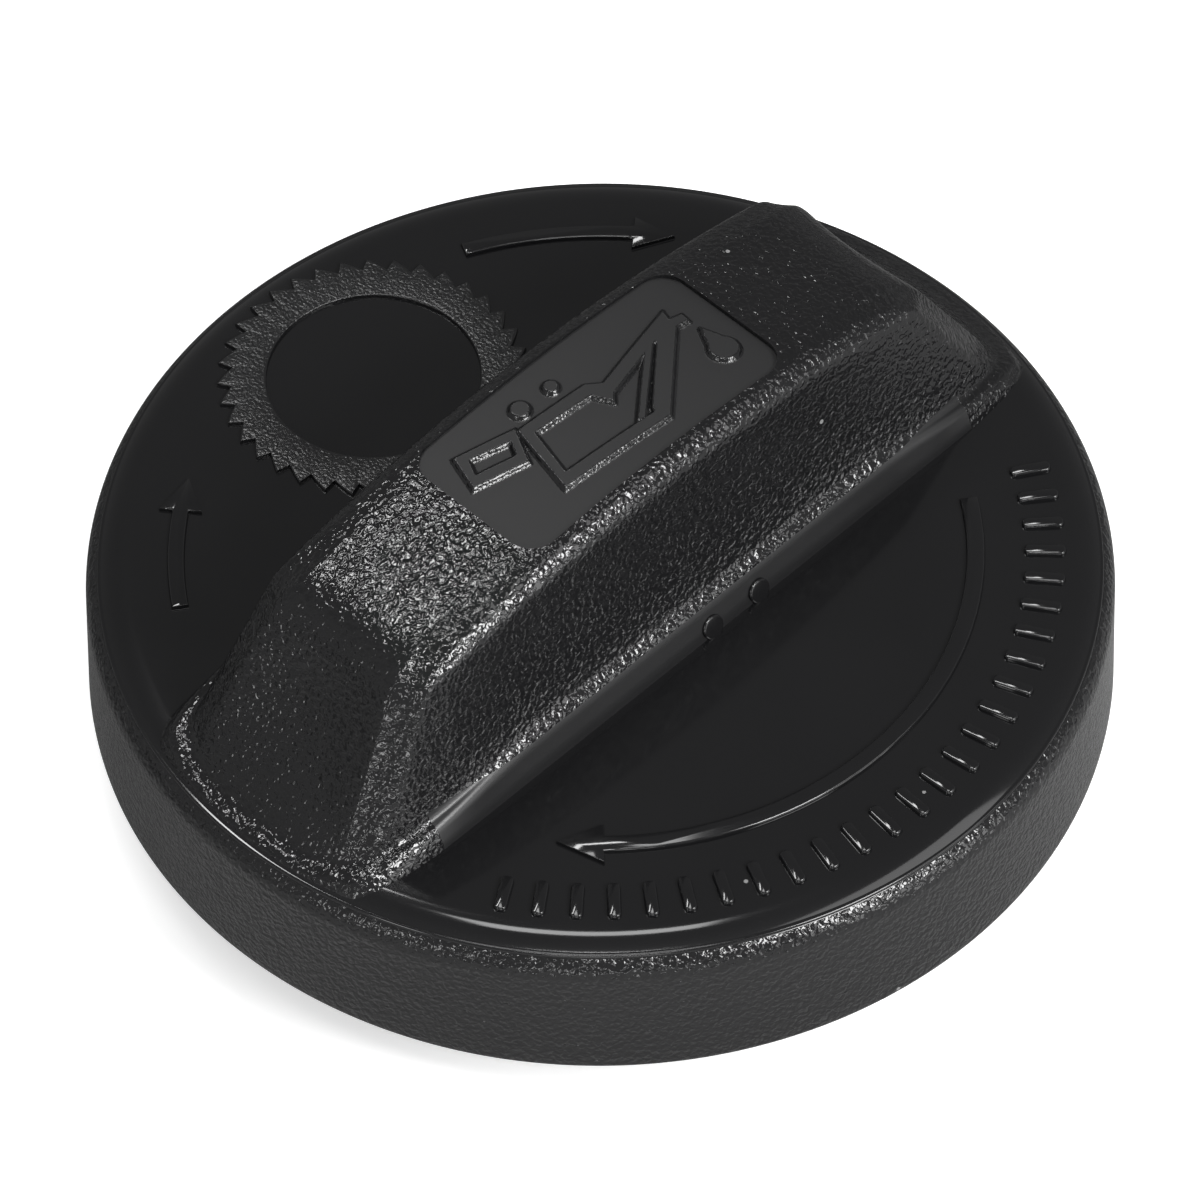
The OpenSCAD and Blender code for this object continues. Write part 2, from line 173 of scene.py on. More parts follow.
soft_box("back_box", 173, 61.5, 1.0, (0.44, 0.1), 2.6)
soft_box("top_box", 140, 78, 1.0, (0.24, 0.14), 0.9)
soft_box("front_bar", -46, 62.5, 1.0, (0.35, 0.09), 2.2)
soft_box("right_box", 5, 38, 0.9, (0.3, 0.34), 7.2)
soft_box("right_glow", 24, 50, 1.0, (0.7, 0.46), 2.4)
soft_box("right_screen", 12, 7, 0.9, (0.6, 0.26), 1.7)
soft_box("left_box", -84, 22, 0.9, (0.14, 0.3), 0.9)
soft_box("left_strip", -44, 3, 0.9, (0.36, 0.1), 0.8)

STUDIO = 0.35                            # plain light on the cap from all round
DIM_SIDE = (0.45, 0.45, 0.77)            # the studio that the cap mirrors is dimmer this way,
DIM_FROM, DIM_TO = 0.5, 0.27             # and goes down to DIM_TO there

world = bpy.data.worlds.new("studio")
world.use_nodes = True
bpy.context.scene.world = world
nodes, links = world.node_tree.nodes, world.node_tree.links
nodes.clear()
out = nodes.new("ShaderNodeOutputWorld")
plain = nodes.new("ShaderNodeBackground")
seen = nodes.new("ShaderNodeBackground")
white = nodes.new("ShaderNodeBackground")
mirrored = nodes.new("ShaderNodeMixShader")
behind = nodes.new("ShaderNodeMixShader")
rays = nodes.new("ShaderNodeLightPath")
coords = nodes.new("ShaderNodeTexCoord")
toward = nodes.new("ShaderNodeVectorMath")
toward.operation = "DOT_PRODUCT"
toward.inputs[1].default_value = DIM_SIDE
shade = nodes.new("ShaderNodeMapRange")
shade.interpolation_type = "SMOOTHSTEP"
shade.inputs["From Min"].default_value = 0.2
shade.inputs["From Max"].default_value = 0.95
shade.inputs["To Min"].default_value = DIM_FROM
shade.inputs["To Max"].default_value = DIM_TO
plain.inputs["Strength"].default_value = STUDIO
white.inputs["Strength"].default_value = 1.0
white.inputs["Color"].default_value = (1, 1, 1, 1)
links.new(coords.outputs["Generated"], toward.inputs[0])
links.new(toward.outputs["Value"], shade.inputs["Value"])
links.new(shade.outputs["Result"], seen.inputs["Strength"])
links.new(maths(nodes, links, "MAXIMUM", rays.outputs["Is Glossy Ray"],
                rays.outputs["Is Transmission Ray"]), mirrored.inputs[0])
links.new(plain.outputs[0], mirrored.inputs[1])
links.new(seen.outputs[0], mirrored.inputs[2])
links.new(rays.outputs["Is Camera Ray"], behind.inputs[0])
links.new(mirrored.outputs[0], behind.inputs[1])
links.new(white.outputs[0], behind.inputs[2])
links.new(behind.outputs[0], out.inputs["Surface"])


# Disc, skirt and plug
#
# The body of the one black nylon moulding. Its disc comes from a polished plate of the mould
# and is smooth; past a fine line round the shoulder, the edge and the skirt are spark-grained.
def rounded(corners, steps=4):
    """A line through (r, z, radius) corners, each turned in an arc-like curve of that radius."""
    line = []
    for k, (r, z, size) in enumerate(corners):
        here = np.array([r, z])
        if size == 0 or k in (0, len(corners) - 1):
            line.append(here)
            continue
        before, after = np.array(corners[k - 1][:2]), np.array(corners[k + 1][:2])
        a = here + (before - here) / np.linalg.norm(before - here) * size
        b = here + (after - here) / np.linalg.norm(after - here) * size
        for t in np.linspace(0, 1, steps + 1):
            line.append(a * (1 - t) ** 2 + here * 2 * t * (1 - t) + b * t ** 2)
    return np.array(line)


def turned(profile, count, centre=(0, 0), closed=False):
    """Points (r cos a, r sin a, z) for a profile of (r, z) turned about an upright axis.

    Where an open profile starts and ends on the axis, its poles are single points."""
    profile = np.asarray(profile, float)
    if not closed:
        ends, profile = profile[[0, -1]], profile[1:-1]
    a = np.linspace(0, 2 * np.pi, count, endpoint=False)
    r, z = profile[:, 0][:, None], profile[:, 1][:, None]
    verts = np.stack([centre[0] + r * np.cos(a), centre[1] + r * np.sin(a), z + 0 * a], -1)
    rows = len(profile)
    verts = verts.reshape(-1, 3)
    row, col = np.meshgrid(np.arange(rows if closed else rows - 1), np.arange(count),
                           indexing="ij")
    nxt, low = (col + 1) % count, (row + 1) % rows
    quads = np.stack([row * count + col, low * count + col,
                      low * count + nxt, row * count + nxt], -1).reshape(-1, 4)
    faces = quads.tolist()
    if not closed:
        top, bottom = len(verts), len(verts) + 1
        verts = np.vstack([verts, [*centre, ends[0][1]], [*centre, ends[1][1]]])
        k = np.arange(count)
        last = (rows - 1) * count
        faces += np.stack([top + 0 * k, k, (k + 1) % count], -1).tolist()
        faces += np.stack([bottom + 0 * k, last + (k + 1) % count, last + k], -1).tolist()
    return verts, faces


PLUG_REACH, DISC_T = 7.0, 3.0
RIM_R, FLARE, SKIRT_WALL = 35.1, 0.25, 2.4
SHOULDER_R, SHOULDER_SLOPE, EDGE_R = 4.0, 36.0, 2.0
PLUG_R, BORE_R, PILOT_R, PILOT_L = 19.0, 16.4, 18.6, 3.0
KEEPER_IN, KEEPER_OUT, KEEPER_H = 23.3, 24.7, 1.8
UNDER_Z = DISC_Z - DISC_T
line_angle = 31.5          # turn of the shoulder at which the polished plate ends
bead_turn, bead_h = 4.2, 0.07   # the fine bead along the plate's edge: its turn and height
line_step = 0.05           # the grained side lies this much lower

slope = math.radians(SHOULDER_SLOPE)
FLAT_R = RIM_R - EDGE_R * (1 - math.sin(slope)) - SHOULDER_R * math.sin(slope)
edge_centre = (RIM_R - EDGE_R,
               DISC_Z - SHOULDER_R * (1 - math.cos(slope)) - EDGE_R * math.cos(slope))
polished = np.radians(np.linspace(0, line_angle, 22))
bead = np.linspace(0, 1, 9)[1:]
turn_down = np.radians(np.linspace(SHOULDER_SLOPE, 90, 22)[1:])


def on_shoulder(angles, lower):
    """Points on the disc's rounding: its arc of radius SHOULDER_R, less a step."""
    r = SHOULDER_R - lower
    return np.stack([FLAT_R + r * np.sin(angles),
                     DISC_Z - SHOULDER_R + r * np.cos(angles)], -1)


outside = np.vstack([
    [[0, DISC_Z]],
    np.stack([np.linspace(2, FLAT_R - 1, 12), np.full(12, DISC_Z)], -1),
    on_shoulder(polished, 0),
    on_shoulder(np.radians(line_angle + bead_turn * bead),
                line_step * bead - bead_h * np.sin(np.pi * bead)),
    np.stack([edge_centre[0] + (EDGE_R - line_step) * np.sin(turn_down),
              edge_centre[1] + (EDGE_R - line_step) * np.cos(turn_down)], -1)])
underside = rounded([
    (RIM_R - line_step, edge_centre[1], 0),
    (RIM_R + FLARE, PLUG_REACH, 0.5),
    (RIM_R + FLARE - SKIRT_WALL, PLUG_REACH, 0.3),
    (RIM_R - SKIRT_WALL, UNDER_Z, 0.8),
    (KEEPER_OUT, UNDER_Z, 0.3),
    (KEEPER_OUT, UNDER_Z - KEEPER_H, 0.3),
    (KEEPER_IN, UNDER_Z - KEEPER_H, 0.2),
    (KEEPER_IN, UNDER_Z, 0.2),
    (PLUG_R, UNDER_Z, 0.2),
    (PLUG_R, PILOT_L, 0.15),
    (PILOT_R, PILOT_L, 0.1),
    (PILOT_R, 0, 0.5),
    (BORE_R, 0, 0.3),
    (BORE_R, UNDER_Z, 0.6),
    (0, UNDER_Z, 0)])[1:]
outside_low = np.linspace(outside[-1], underside[0], 8)[1:-1]
verts, faces = turned(np.vstack([outside, outside_low, underside]), 360)
shell = new_piece("cap_shell", verts, [f[::-1] for f in faces], 32)


# Cores in the underside
#
# Steel cores of the mould leave the grip hollow from below, so that the thick places cool
# evenly: three bays between webs over the plug's bore, and one pocket under each end ramp.
def prism(outline, axis, low, high):
    """A closed block: an outline of (u, v) points carried straight along X, Y or Z."""
    outline = np.asarray(outline, float)
    n = len(outline)
    rows = [np.insert(outline, "XYZ".index(axis), along, axis=1) for along in (low, high)]
    k = np.arange(n)
    faces = np.stack([k, (k + 1) % n, (k + 1) % n + n, k + n], -1).tolist()
    faces += [k[::-1].tolist(), (k + n).tolist()]
    return np.vstack(rows), faces


def cut(piece, verts, faces):
    """Takes the block out of the piece, with its normals made to point outwards first."""
    block = new_piece("block", verts, faces)
    shape = bmesh.new()
    shape.from_mesh(block.data)
    bmesh.ops.recalc_face_normals(shape, faces=shape.faces)
    shape.to_mesh(block.data)
    shape.free()
    modifier = piece.modifiers.new("cut", "BOOLEAN")
    modifier.operation = "DIFFERENCE"
    modifier.solver = "EXACT"
    modifier.object = block
    graph = bpy.context.evaluated_depsgraph_get()
    result = bpy.data.meshes.new_from_object(piece.evaluated_get(graph))
    piece.modifiers.clear()
    old = piece.data
    piece.data = result
    bpy.data.meshes.remove(old)
    spent = block.data
    bpy.data.objects.remove(block)
    bpy.data.meshes.remove(spent)


bay_l, bay_pitch = 8.5, 10.1
pocket_in, pocket_out, pocket_half_w = 25.3, 30.0, 6.1
bay_side = [(6.9, UNDER_Z - 1), (6.9, DISC_Z + 3.0), (6.45, DISC_Z + 4.2), (5.95, DISC_Z + 6.2),
            (5.5, DISC_Z + 8.65), (5.15, DISC_Z + 11.45)]
bay_outline = bay_side + [(-y, z) for y, z in bay_side[::-1]]
cores = [prism(bay_outline, "X", bay_pitch * i - bay_l / 2, bay_pitch * i + bay_l / 2)
         for i in (-1, 0, 1)]
pocket = np.array([(pocket_in, UNDER_Z - 1), (pocket_out, UNDER_Z - 1),
                   (pocket_out, DISC_Z - 2.5), (pocket_in, DISC_Z + 4.2)])
for side in (1, -1):
    cores.append(prism(pocket * [side, 1], "Y", -pocket_half_w, pocket_half_w))
for block in cores:
    cut(shell, *block)


# Black nylon
#
# Glass-filled nylon, black right through. The grip, edge and skirt are spark-grained with
# wrinkles under half a millimetre; the disc and marks are polished, and the lip is plain.
NYLON_DARK, NYLON_LIGHT = (0.0045, 0.0045, 0.0049, 1), (0.0065, 0.0065, 0.007, 1)
SPECK_GREY, SPECK_SHARE = (0.2, 0.2, 0.2, 1), 0.9   # a speck lies in cells picked over this

grain = bpy.data.node_groups.new("spark_grain", "ShaderNodeTree")
socket = grain.interface.new_socket(name="Size", in_out="INPUT", socket_type="NodeSocketFloat")
socket.default_value = 0.4
grain.interface.new_socket(name="Height", in_out="OUTPUT", socket_type="NodeSocketFloat")
grain.interface.new_socket(name="Patch", in_out="OUTPUT", socket_type="NodeSocketFloat")
nodes, links = grain.nodes, grain.links
g_in, g_out = nodes.new("NodeGroupInput"), nodes.new("NodeGroupOutput")
coords = nodes.new("ShaderNodeTexCoord")
per_metre = maths(nodes, links, "DIVIDE", 1000, g_in.outputs["Size"])
worms = nodes.new("ShaderNodeTexNoise")
worms.inputs["Detail"].default_value = 0.6
worms.inputs["Distortion"].default_value = 0.5
links.new(coords.outputs["Object"], worms.inputs["Vector"])
links.new(per_metre, worms.inputs["Scale"])
links.new(worms.outputs["Fac"], g_out.inputs["Height"])
cloud = nodes.new("ShaderNodeTexNoise")
cloud.inputs["Scale"].default_value = 90
cloud.inputs["Detail"].default_value = 3
links.new(coords.outputs["Object"], cloud.inputs["Vector"])
links.new(cloud.outputs["Fac"], g_out.inputs["Patch"])

dust = bpy.data.node_groups.new("dust_specks", "ShaderNodeTree")
socket = dust.interface.new_socket(name="Scale", in_out="INPUT", socket_type="NodeSocketFloat")
socket.default_value = 300
socket = dust.interface.new_socket(name="Reach", in_out="INPUT", socket_type="NodeSocketFloat")
socket.default_value = 0.05
dust.interface.new_socket(name="Mask", in_out="OUTPUT", socket_type="NodeSocketFloat")
nodes, links = dust.nodes, dust.links
g_in, g_out = nodes.new("NodeGroupInput"), nodes.new("NodeGroupOutput")
coords = nodes.new("ShaderNodeTexCoord")
cells = nodes.new("ShaderNodeTexVoronoi")
links.new(coords.outputs["Object"], cells.inputs["Vector"])
links.new(g_in.outputs["Scale"], cells.inputs["Scale"])
near = maths(nodes, links, "LESS_THAN", cells.outputs["Distance"], g_in.outputs["Reach"])
pick_cell = nodes.new("ShaderNodeSeparateColor")
links.new(cells.outputs["Color"], pick_cell.inputs[0])
picked = maths(nodes, links, "GREATER_THAN", pick_cell.outputs[0], SPECK_SHARE)
links.new(maths(nodes, links, "MULTIPLY", near, picked), g_out.inputs["Mask"])


def nylon(name, depth, size, rough, smooth=None, smooth_inside=None, smooth_foot=None,
          grained_by=None):
    """Black nylon, grained to a depth in metres, 0 for none, in wrinkles of a size in mm.

    rough is the roughness it varies between by the cloud mask. It has no grain and the roughness
    smooth on the disc within the radius smooth_inside, within the half length and height of
    smooth_foot, or where the mesh's attribute grained_by is 0."""
    material, nodes, links, shader = new_material(name)
    effect = nodes.new("ShaderNodeGroup")
    effect.node_tree = grain
    effect.inputs["Size"].default_value = size
    specks = nodes.new("ShaderNodeGroup")
    specks.node_tree = dust
    is_grained = None
    coords = nodes.new("ShaderNodeTexCoord")
    split = nodes.new("ShaderNodeSeparateXYZ")
    links.new(coords.outputs["Object"], split.inputs[0])
    if smooth_foot is not None:
        length, height = smooth_foot
        reach = maths(nodes, links, "ABSOLUTE", split.outputs["X"])
        is_grained = maths(nodes, links, "MAXIMUM",
                           maths(nodes, links, "GREATER_THAN", reach, length * MM),
                           maths(nodes, links, "GREATER_THAN", split.outputs["Z"], height * MM))
    if smooth_inside is not None:
        flat = nodes.new("ShaderNodeCombineXYZ")
        links.new(split.outputs["X"], flat.inputs["X"])
        links.new(split.outputs["Y"], flat.inputs["Y"])
        reach = nodes.new("ShaderNodeVectorMath")
        reach.operation = "LENGTH"
        links.new(flat.outputs[0], reach.inputs[0])
        is_grained = maths(nodes, links, "MAXIMUM",
                           maths(nodes, links, "GREATER_THAN", reach.outputs["Value"],
                                 smooth_inside * MM),
                           maths(nodes, links, "LESS_THAN", split.outputs["Z"],
                                 (UNDER_Z + 0.5) * MM))
    if grained_by is not None:
        mask = nodes.new("ShaderNodeAttribute")
        mask.attribute_name = grained_by
        is_grained = mask.outputs["Fac"]
    tint = nodes.new("ShaderNodeMix")
    tint.data_type = "RGBA"
    tint.inputs["A"].default_value = NYLON_DARK
    tint.inputs["B"].default_value = NYLON_LIGHT
    links.new(effect.outputs["Patch"], tint.inputs["Factor"])
    dusty = nodes.new("ShaderNodeMix")
    dusty.data_type = "RGBA"
    dusty.inputs["B"].default_value = SPECK_GREY
    links.new(tint.outputs["Result"], dusty.inputs["A"])
    links.new(specks.outputs["Mask"], dusty.inputs["Factor"])
    links.new(dusty.outputs["Result"], shader.inputs["Base Color"])
    spread = nodes.new("ShaderNodeMapRange")
    spread.inputs["To Min"].default_value, spread.inputs["To Max"].default_value = rough
    links.new(effect.outputs["Patch"], spread.inputs["Value"])
    rough_out, height_out = spread.outputs["Result"], effect.outputs["Height"]
    if is_grained is not None:
        smoother = nodes.new("ShaderNodeMapRange")
        smoother.inputs["To Min"].default_value, smoother.inputs["To Max"].default_value = smooth
        links.new(effect.outputs["Patch"], smoother.inputs["Value"])
        choose = nodes.new("ShaderNodeMix")
        links.new(is_grained, choose.inputs["Factor"])
        links.new(smoother.outputs["Result"], choose.inputs["A"])
        links.new(rough_out, choose.inputs["B"])
        rough_out = choose.outputs["Result"]
        height_out = maths(nodes, links, "MULTIPLY", height_out, is_grained)
    links.new(rough_out, shader.inputs["Roughness"])
    if depth:
        bump = nodes.new("ShaderNodeBump")
        bump.inputs["Strength"].default_value = 1.0
        bump.inputs["Distance"].default_value = depth
        links.new(height_out, bump.inputs["Height"])
        links.new(bump.outputs["Normal"], shader.inputs["Normal"])
    return material


def finish(piece, black):
    """Gives a piece of the one moulding its nylon, and rides it on the cap's one body."""
    piece.data.materials.clear()
    piece.data.materials.append(black)
    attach(piece, "root")


finish(shell, nylon("nylon_disc_and_skirt", 0.00014, 0.36, (0.1, 0.15), (0.07, 0.11), 34.25))
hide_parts("cap_body")


# The wing grip
#
# Moulded in one with the disc: scooped flanks between a low lip and the crown, ramps with a
# dished middle at both ends, a narrow facet on each corner, and a crown that falls to its ends.
GRIP_L, GRIP_W = 67.8, 21.7
CROWN_H, CROWN_FALL, CROWN_L, CROWN_W, CROWN_TAPER = 15.0, 2.7, 48.4, 14.7, 0.8
CORNER_CUT, FACET_DISH, SCOOP_START = 1.6, 0.34, 32.0
LIP_H, LIP_LEAN, LEDGE_H, LEDGE_W = 2.5, 0.85, 0.5, 0.6
PAD_H, PAD_LEAN, PAD_W = 0.15, 0.2, 1.2
RAMP_DISH, CREST_ROUND, CREST_END_ROUND = 0.9, 2.5, 3.4
FOOT_CORNER, LIP_CORNER, CROWN_CORNER = 7.0, 9.0, 0.7
FLANK_STRAIGHT, FLANK_TURN, RAMP_STRAIGHT, RAMP_TURN = 0.5, 3.6, 0.92, 4.0
FOOT_SINK, GRIP_SINK = 0.1, 1.2
PANEL_L, PANEL_W, PANEL_CORNER = 24.4, 11.8, 2.0
PIT_Z, PLATE_Z = DISC_Z + CROWN_H - 1.6, DISC_Z + CROWN_H - 1.65


def sin_d(a):
    """Sine of an angle in degrees."""
    return np.sin(np.radians(a))


def cos_d(a):
    """Cosine of an angle in degrees."""
    return np.cos(np.radians(a))


def mix(a, b, t):
    """a + (b - a) t: a where t is 0, b where it's 1."""
    return a + (b - a) * t


def ease(t):
    """3t^2 - 2t^3, from 0 to 1."""
    t = np.clip(t, 0, 1)
    return t * t * (3 - 2 * t)


def soft_min(a, b, k):
    """The smaller of a and b, less (k - |a - b|)^2 / 4k where they are within k."""
    return np.minimum(a, b) - np.maximum(k - np.abs(a - b), 0) ** 2 / (4 * k)


def bar_radius(a, corner):
    """Plan outline of a bar as a radius in direction a: its half length or half width."""
    return soft_min(GRIP_L / 2, GRIP_W / 2 / np.maximum(sin_d(a), 0.01), corner)


def crown_half_w(x):
    """Half the crown's width, narrower by a parabola to its ends."""
    return CROWN_W / 2 - CROWN_TAPER / 2 * (2 * x / CROWN_L) ** 2


def crown_radius(a, side_in=0.0, end_in=0.0):
    """Plan outline of the crown: its side, the cut on its corner and its end.

    side_in and end_in move the sides and ends in, which gives where the rounding starts."""
    end = CROWN_L / 2
    side_x = np.minimum(CROWN_W / 2 / np.maximum(np.tan(np.radians(a)), 0.01), end)
    side = (crown_half_w(side_x) - side_in) / np.maximum(sin_d(a), 0.01)
    corner = (end + crown_half_w(end) - CORNER_CUT - (side_in + end_in) * 0.7)
    return soft_min(soft_min(side, corner / (sin_d(a) + cos_d(a)), CROWN_CORNER),
                    (end - end_in) / np.maximum(cos_d(a), 0.01), CROWN_CORNER)


def crown_z(x):
    """Height of the crown over the disc: a parabola along the grip."""
    return CROWN_H - CROWN_FALL * (2 * x / CROWN_L) ** 2


RIDGE_1 = math.degrees(math.atan2(crown_half_w(CROWN_L / 2) - CORNER_CUT, CROWN_L / 2))
RIDGE_2 = math.degrees(math.atan2(crown_half_w(CROWN_L / 2), CROWN_L / 2 - CORNER_CUT))
RIDGE_SOFT = 0.1


def ramp_share(a):
    """1 on the ramp and 0 on the flank, with softened turns at the two ridges."""
    t = (RIDGE_2 - a) / (RIDGE_2 - RIDGE_1)
    return 1 - soft_min(1 - soft_min(t, 1, RIDGE_SOFT), 1, RIDGE_SOFT)


def end_share(a, start):
    """1 on the ramp, from a share of RIDGE_1 inwards, eased to 0 at SCOOP_START."""
    return ease((SCOOP_START - a) / (SCOOP_START - RIDGE_1 * start))


def disc_fall(r):
    """How far the disc's round shoulder lies under its flat: R - sqrt(R^2 - beyond^2)."""
    beyond = np.clip(r - FLAT_R, 0, SHOULDER_R * 0.9)
    return SHOULDER_R - np.sqrt(SHOULDER_R ** 2 - beyond ** 2)


def pair(r, z):
    """Radius and height as the last axis of one array."""
    return np.stack(np.broadcast_arrays(r, z), -1)


def foot_point(a):
    """The grip's foot: the bar's outline, just under the disc's face."""
    r = bar_radius(a, FOOT_CORNER)
    return pair(r, -disc_fall(r) - FOOT_SINK)


def lip_point(a):
    """The lip's edge: high over the flanks' foot, and down on the disc's shoulder at the ends."""
    ends = end_share(a, 0.6)
    r = bar_radius(a, LIP_CORNER) - mix(LIP_LEAN / np.maximum(sin_d(a), 0.3), PAD_LEAN, ends)
    return pair(r, mix(LIP_H, PAD_H - disc_fall(r), ends))


def ledge_point(a):
    """The corner behind the lip, where the flank or ramp starts to rise."""
    ends = end_share(a, 0.6)
    r = lip_point(a)[..., 0] - mix(LEDGE_W / np.maximum(sin_d(a), 0.3), PAD_W, ends)
    return pair(r, mix(LIP_H + LEDGE_H, PAD_H - disc_fall(r), ends))


def hollow(h, straight, turn):
    """Share of the way in at a share h of the height: a slope plus a hollow at its foot."""
    return straight * h + (1 - straight) * (1 - (1 - h) ** turn)


def slope_point(a, h):
    """(radius, height) on the flank or ramp in direction a, at a share h of the height.

    The ramp's middle is dished, and so is the facet between the two ridges."""
    ledge = ledge_point(a)
    top_r = crown_radius(a)
    top_z = crown_z(top_r * cos_d(a))
    middle = 1 - np.minimum(a / RIDGE_1, 1) ** 2
    scoop = 1 - (1 - np.clip((a - RIDGE_2) / (SCOOP_START - RIDGE_2), 0, 1)) ** 2
    ramp = mix(h, hollow(h, RAMP_STRAIGHT, RAMP_TURN), middle)
    flank = mix(h, hollow(h, FLANK_STRAIGHT, FLANK_TURN), scoop)
    facet = np.clip((RIDGE_2 - a) / (RIDGE_2 - RIDGE_1), 0, 1)
    dish = RAMP_DISH * middle * 4 * h * (1 - h)
    groove = FACET_DISH * 4 * facet * (1 - facet) * (1 - (2 * h - 1) ** 4)
    share = mix(flank, ramp, ramp_share(a))
    return pair(mix(ledge[..., 0], top_r, share) - dish - groove, mix(ledge[..., 1], top_z, h))


def bend(a, b, c, t):
    """A curve from a to c drawn towards b: a(1-t)^2 + 2bt(1-t) + ct^2."""
    return a * (1 - t) ** 2 + b * 2 * t * (1 - t) + c * t ** 2


quarter = np.concatenate([
    np.linspace(0, RIDGE_1 - 1, 26, endpoint=False),
    np.linspace(RIDGE_1 - 1, RIDGE_2 + 1.5, 34, endpoint=False),
    np.linspace(RIDGE_2 + 1.5, SCOOP_START, 26, endpoint=False),
    np.linspace(SCOOP_START, 90, 40, endpoint=False)])
angles = np.concatenate([quarter, [90], 180 - quarter[:0:-1]])
angles = np.concatenate([angles, angles + 180])
folded = np.where(angles % 180 > 90, 180 - angles % 180, angles % 180)[:, None]

foot = foot_point(folded)
sunk = foot * [1, 0] + [0, -GRIP_SINK]
lip = lip_point(folded)
ledge = ledge_point(folded)
lip_low = mix(foot, lip, 0.72)
ledge_mid = mix(lip, ledge, 0.6)
low_h = 0.035
crest_size = mix(CREST_ROUND, CREST_END_ROUND, ramp_share(folded))
crest_h = 1 - crest_size / CROWN_H
levels = mix(low_h, crest_h, np.linspace(0, 1, 40)[None, :] ** 1.2)
crest_in_r = crown_radius(folded, CREST_ROUND * 0.95, CREST_END_ROUND * 0.9)
crest_in = pair(crest_in_r, crown_z(crest_in_r * cos_d(folded)))
section = np.concatenate([
    sunk, foot, mix(foot, lip, 0.4),
    bend(lip_low, lip, ledge_mid, np.linspace(0, 1, 8)[None, :-1, None]),
    bend(ledge_mid, ledge, slope_point(folded, low_h), np.linspace(0, 1, 8)[None, :-1, None]),
    slope_point(folded, levels)[:, :-1],
    bend(slope_point(folded, crest_h), slope_point(folded, 1.0), crest_in,
         np.linspace(0, 1, 21)[None, :, None])], axis=1)
inner = crest_in_r * (1 - np.linspace(0, 1, 26)[None, 1:-1])
section = np.concatenate([section, pair(inner, crown_z(inner * cos_d(folded)))], axis=1)

count, rows = section.shape[:2]
radius = section[..., 0]
grip_verts = np.stack([radius * cos_d(angles)[:, None], radius * sin_d(angles)[:, None],
                       DISC_Z + section[..., 1]], -1)
grip_verts = grip_verts.transpose(1, 0, 2).reshape(-1, 3)
row, col = np.meshgrid(np.arange(rows - 1), np.arange(count), indexing="ij")
nxt = (col + 1) % count
grip_faces = np.stack([row * count + col, row * count + nxt, (row + 1) * count + nxt,
                       (row + 1) * count + col], -1).reshape(-1, 4).tolist()
top, bottom = len(grip_verts), len(grip_verts) + 1
grip_verts = np.vstack([grip_verts, [0, 0, DISC_Z + CROWN_H], [0, 0, DISC_Z - GRIP_SINK]])
k = np.arange(count)
last = (rows - 1) * count
grip_faces += np.stack([last + k, last + (k + 1) % count, top + 0 * k], -1).tolist()
grip_faces += np.stack([(k + 1) % count, k, bottom + 0 * k], -1).tolist()
grip = new_piece("wing_grip", grip_verts, grip_faces, 40)
for block in cores:
    cut(grip, *block)


def round_box(length, width, corner, steps=10):
    """Outline of a rectangle with quarter circles of radius corner at its corners."""
    points = []
    for sx, sy, start in ((1, 1, 0), (-1, 1, 90), (-1, -1, 180), (1, -1, 270)):
        a = np.radians(np.linspace(start, start + 90, steps))
        points.append(np.stack([sx * (length / 2 - corner) + corner * np.cos(a),
                                sy * (width / 2 - corner) + corner * np.sin(a)], -1))
    return np.vstack(points)


cut(grip, *prism(round_box(PANEL_L, PANEL_W, PANEL_CORNER), "Z",
                 PIT_Z, DISC_Z + CROWN_H + 1))
finish(grip, nylon("nylon_grained", 0.00013, 0.37, (0.08, 0.13), (0.34, 0.4), None,
                   (25.5, DISC_Z + 2.35)))


# The sunk sign panel
#
# A matt round-cornered panel let into the crown, with the plain sign of an oil can and a drop
# standing up from its floor. The sign's sloping sides are left shiny and a little rough.
PANEL_DEPTH, SIGN_H, SIGN_SOFT = 0.35, 0.32, 0.16
SIGN_SHINE, SIGN_FADE = 0.2, 0.06        # how far the shine reaches from the sign's edge


def inside_distance(x, y, corners):
    """Distance to a polygon's outline, below zero inside it, for whole arrays of points."""
    corners = np.asarray(corners, float)
    best = np.full(x.shape, 1e9)
    inside = np.zeros(x.shape, bool)
    for (ax, ay), (bx, by) in zip(corners, np.roll(corners, -1, 0)):
        dx, dy = bx - ax, by - ay
        t = np.clip(((x - ax) * dx + (y - ay) * dy) / (dx * dx + dy * dy), 0, 1)
        best = np.minimum(best, np.hypot(x - ax - t * dx, y - ay - t * dy))
        crosses = (ay > y) != (by > y)
        inside ^= crosses & (x < (bx - ax) * (y - ay) / (by - ay + 1e-12) + ax)
    return np.where(inside, -best, best)


can_out = [(-6.7, -3.5), (2.7, -4.2), (8.8, 1.2), (9.9, 1.1), (10.0, 2.0), (9.0, 2.2),
           (9.3, 3.1), (1.6, 1.2), (0.6, 2.0), (-5.4, 2.4)]
can_in = [(-5.5, -2.4), (2.1, -3.0), (2.3, -2.6), (6.6, 1.2), (1.5, -0.1), (0.9, -0.7),
          (0.1, 0.8), (-4.6, 1.2)]
rib_line = [(1.3, -3.2), (7.4, 1.9), (6.6, 2.2), (0.6, -2.9)]
handle_out = [(-10.8, 1.0), (-6.6, -0.2), (-5.2, 2.6), (-9.9, 3.9)]
handle_in = [(-9.7, 1.8), (-6.9, 1.0), (-6.4, 1.9), (-9.2, 2.8)]
drop_at, drop_r, drop_tip = (9.7, -2.2), 1.15, (9.9, 0.4)

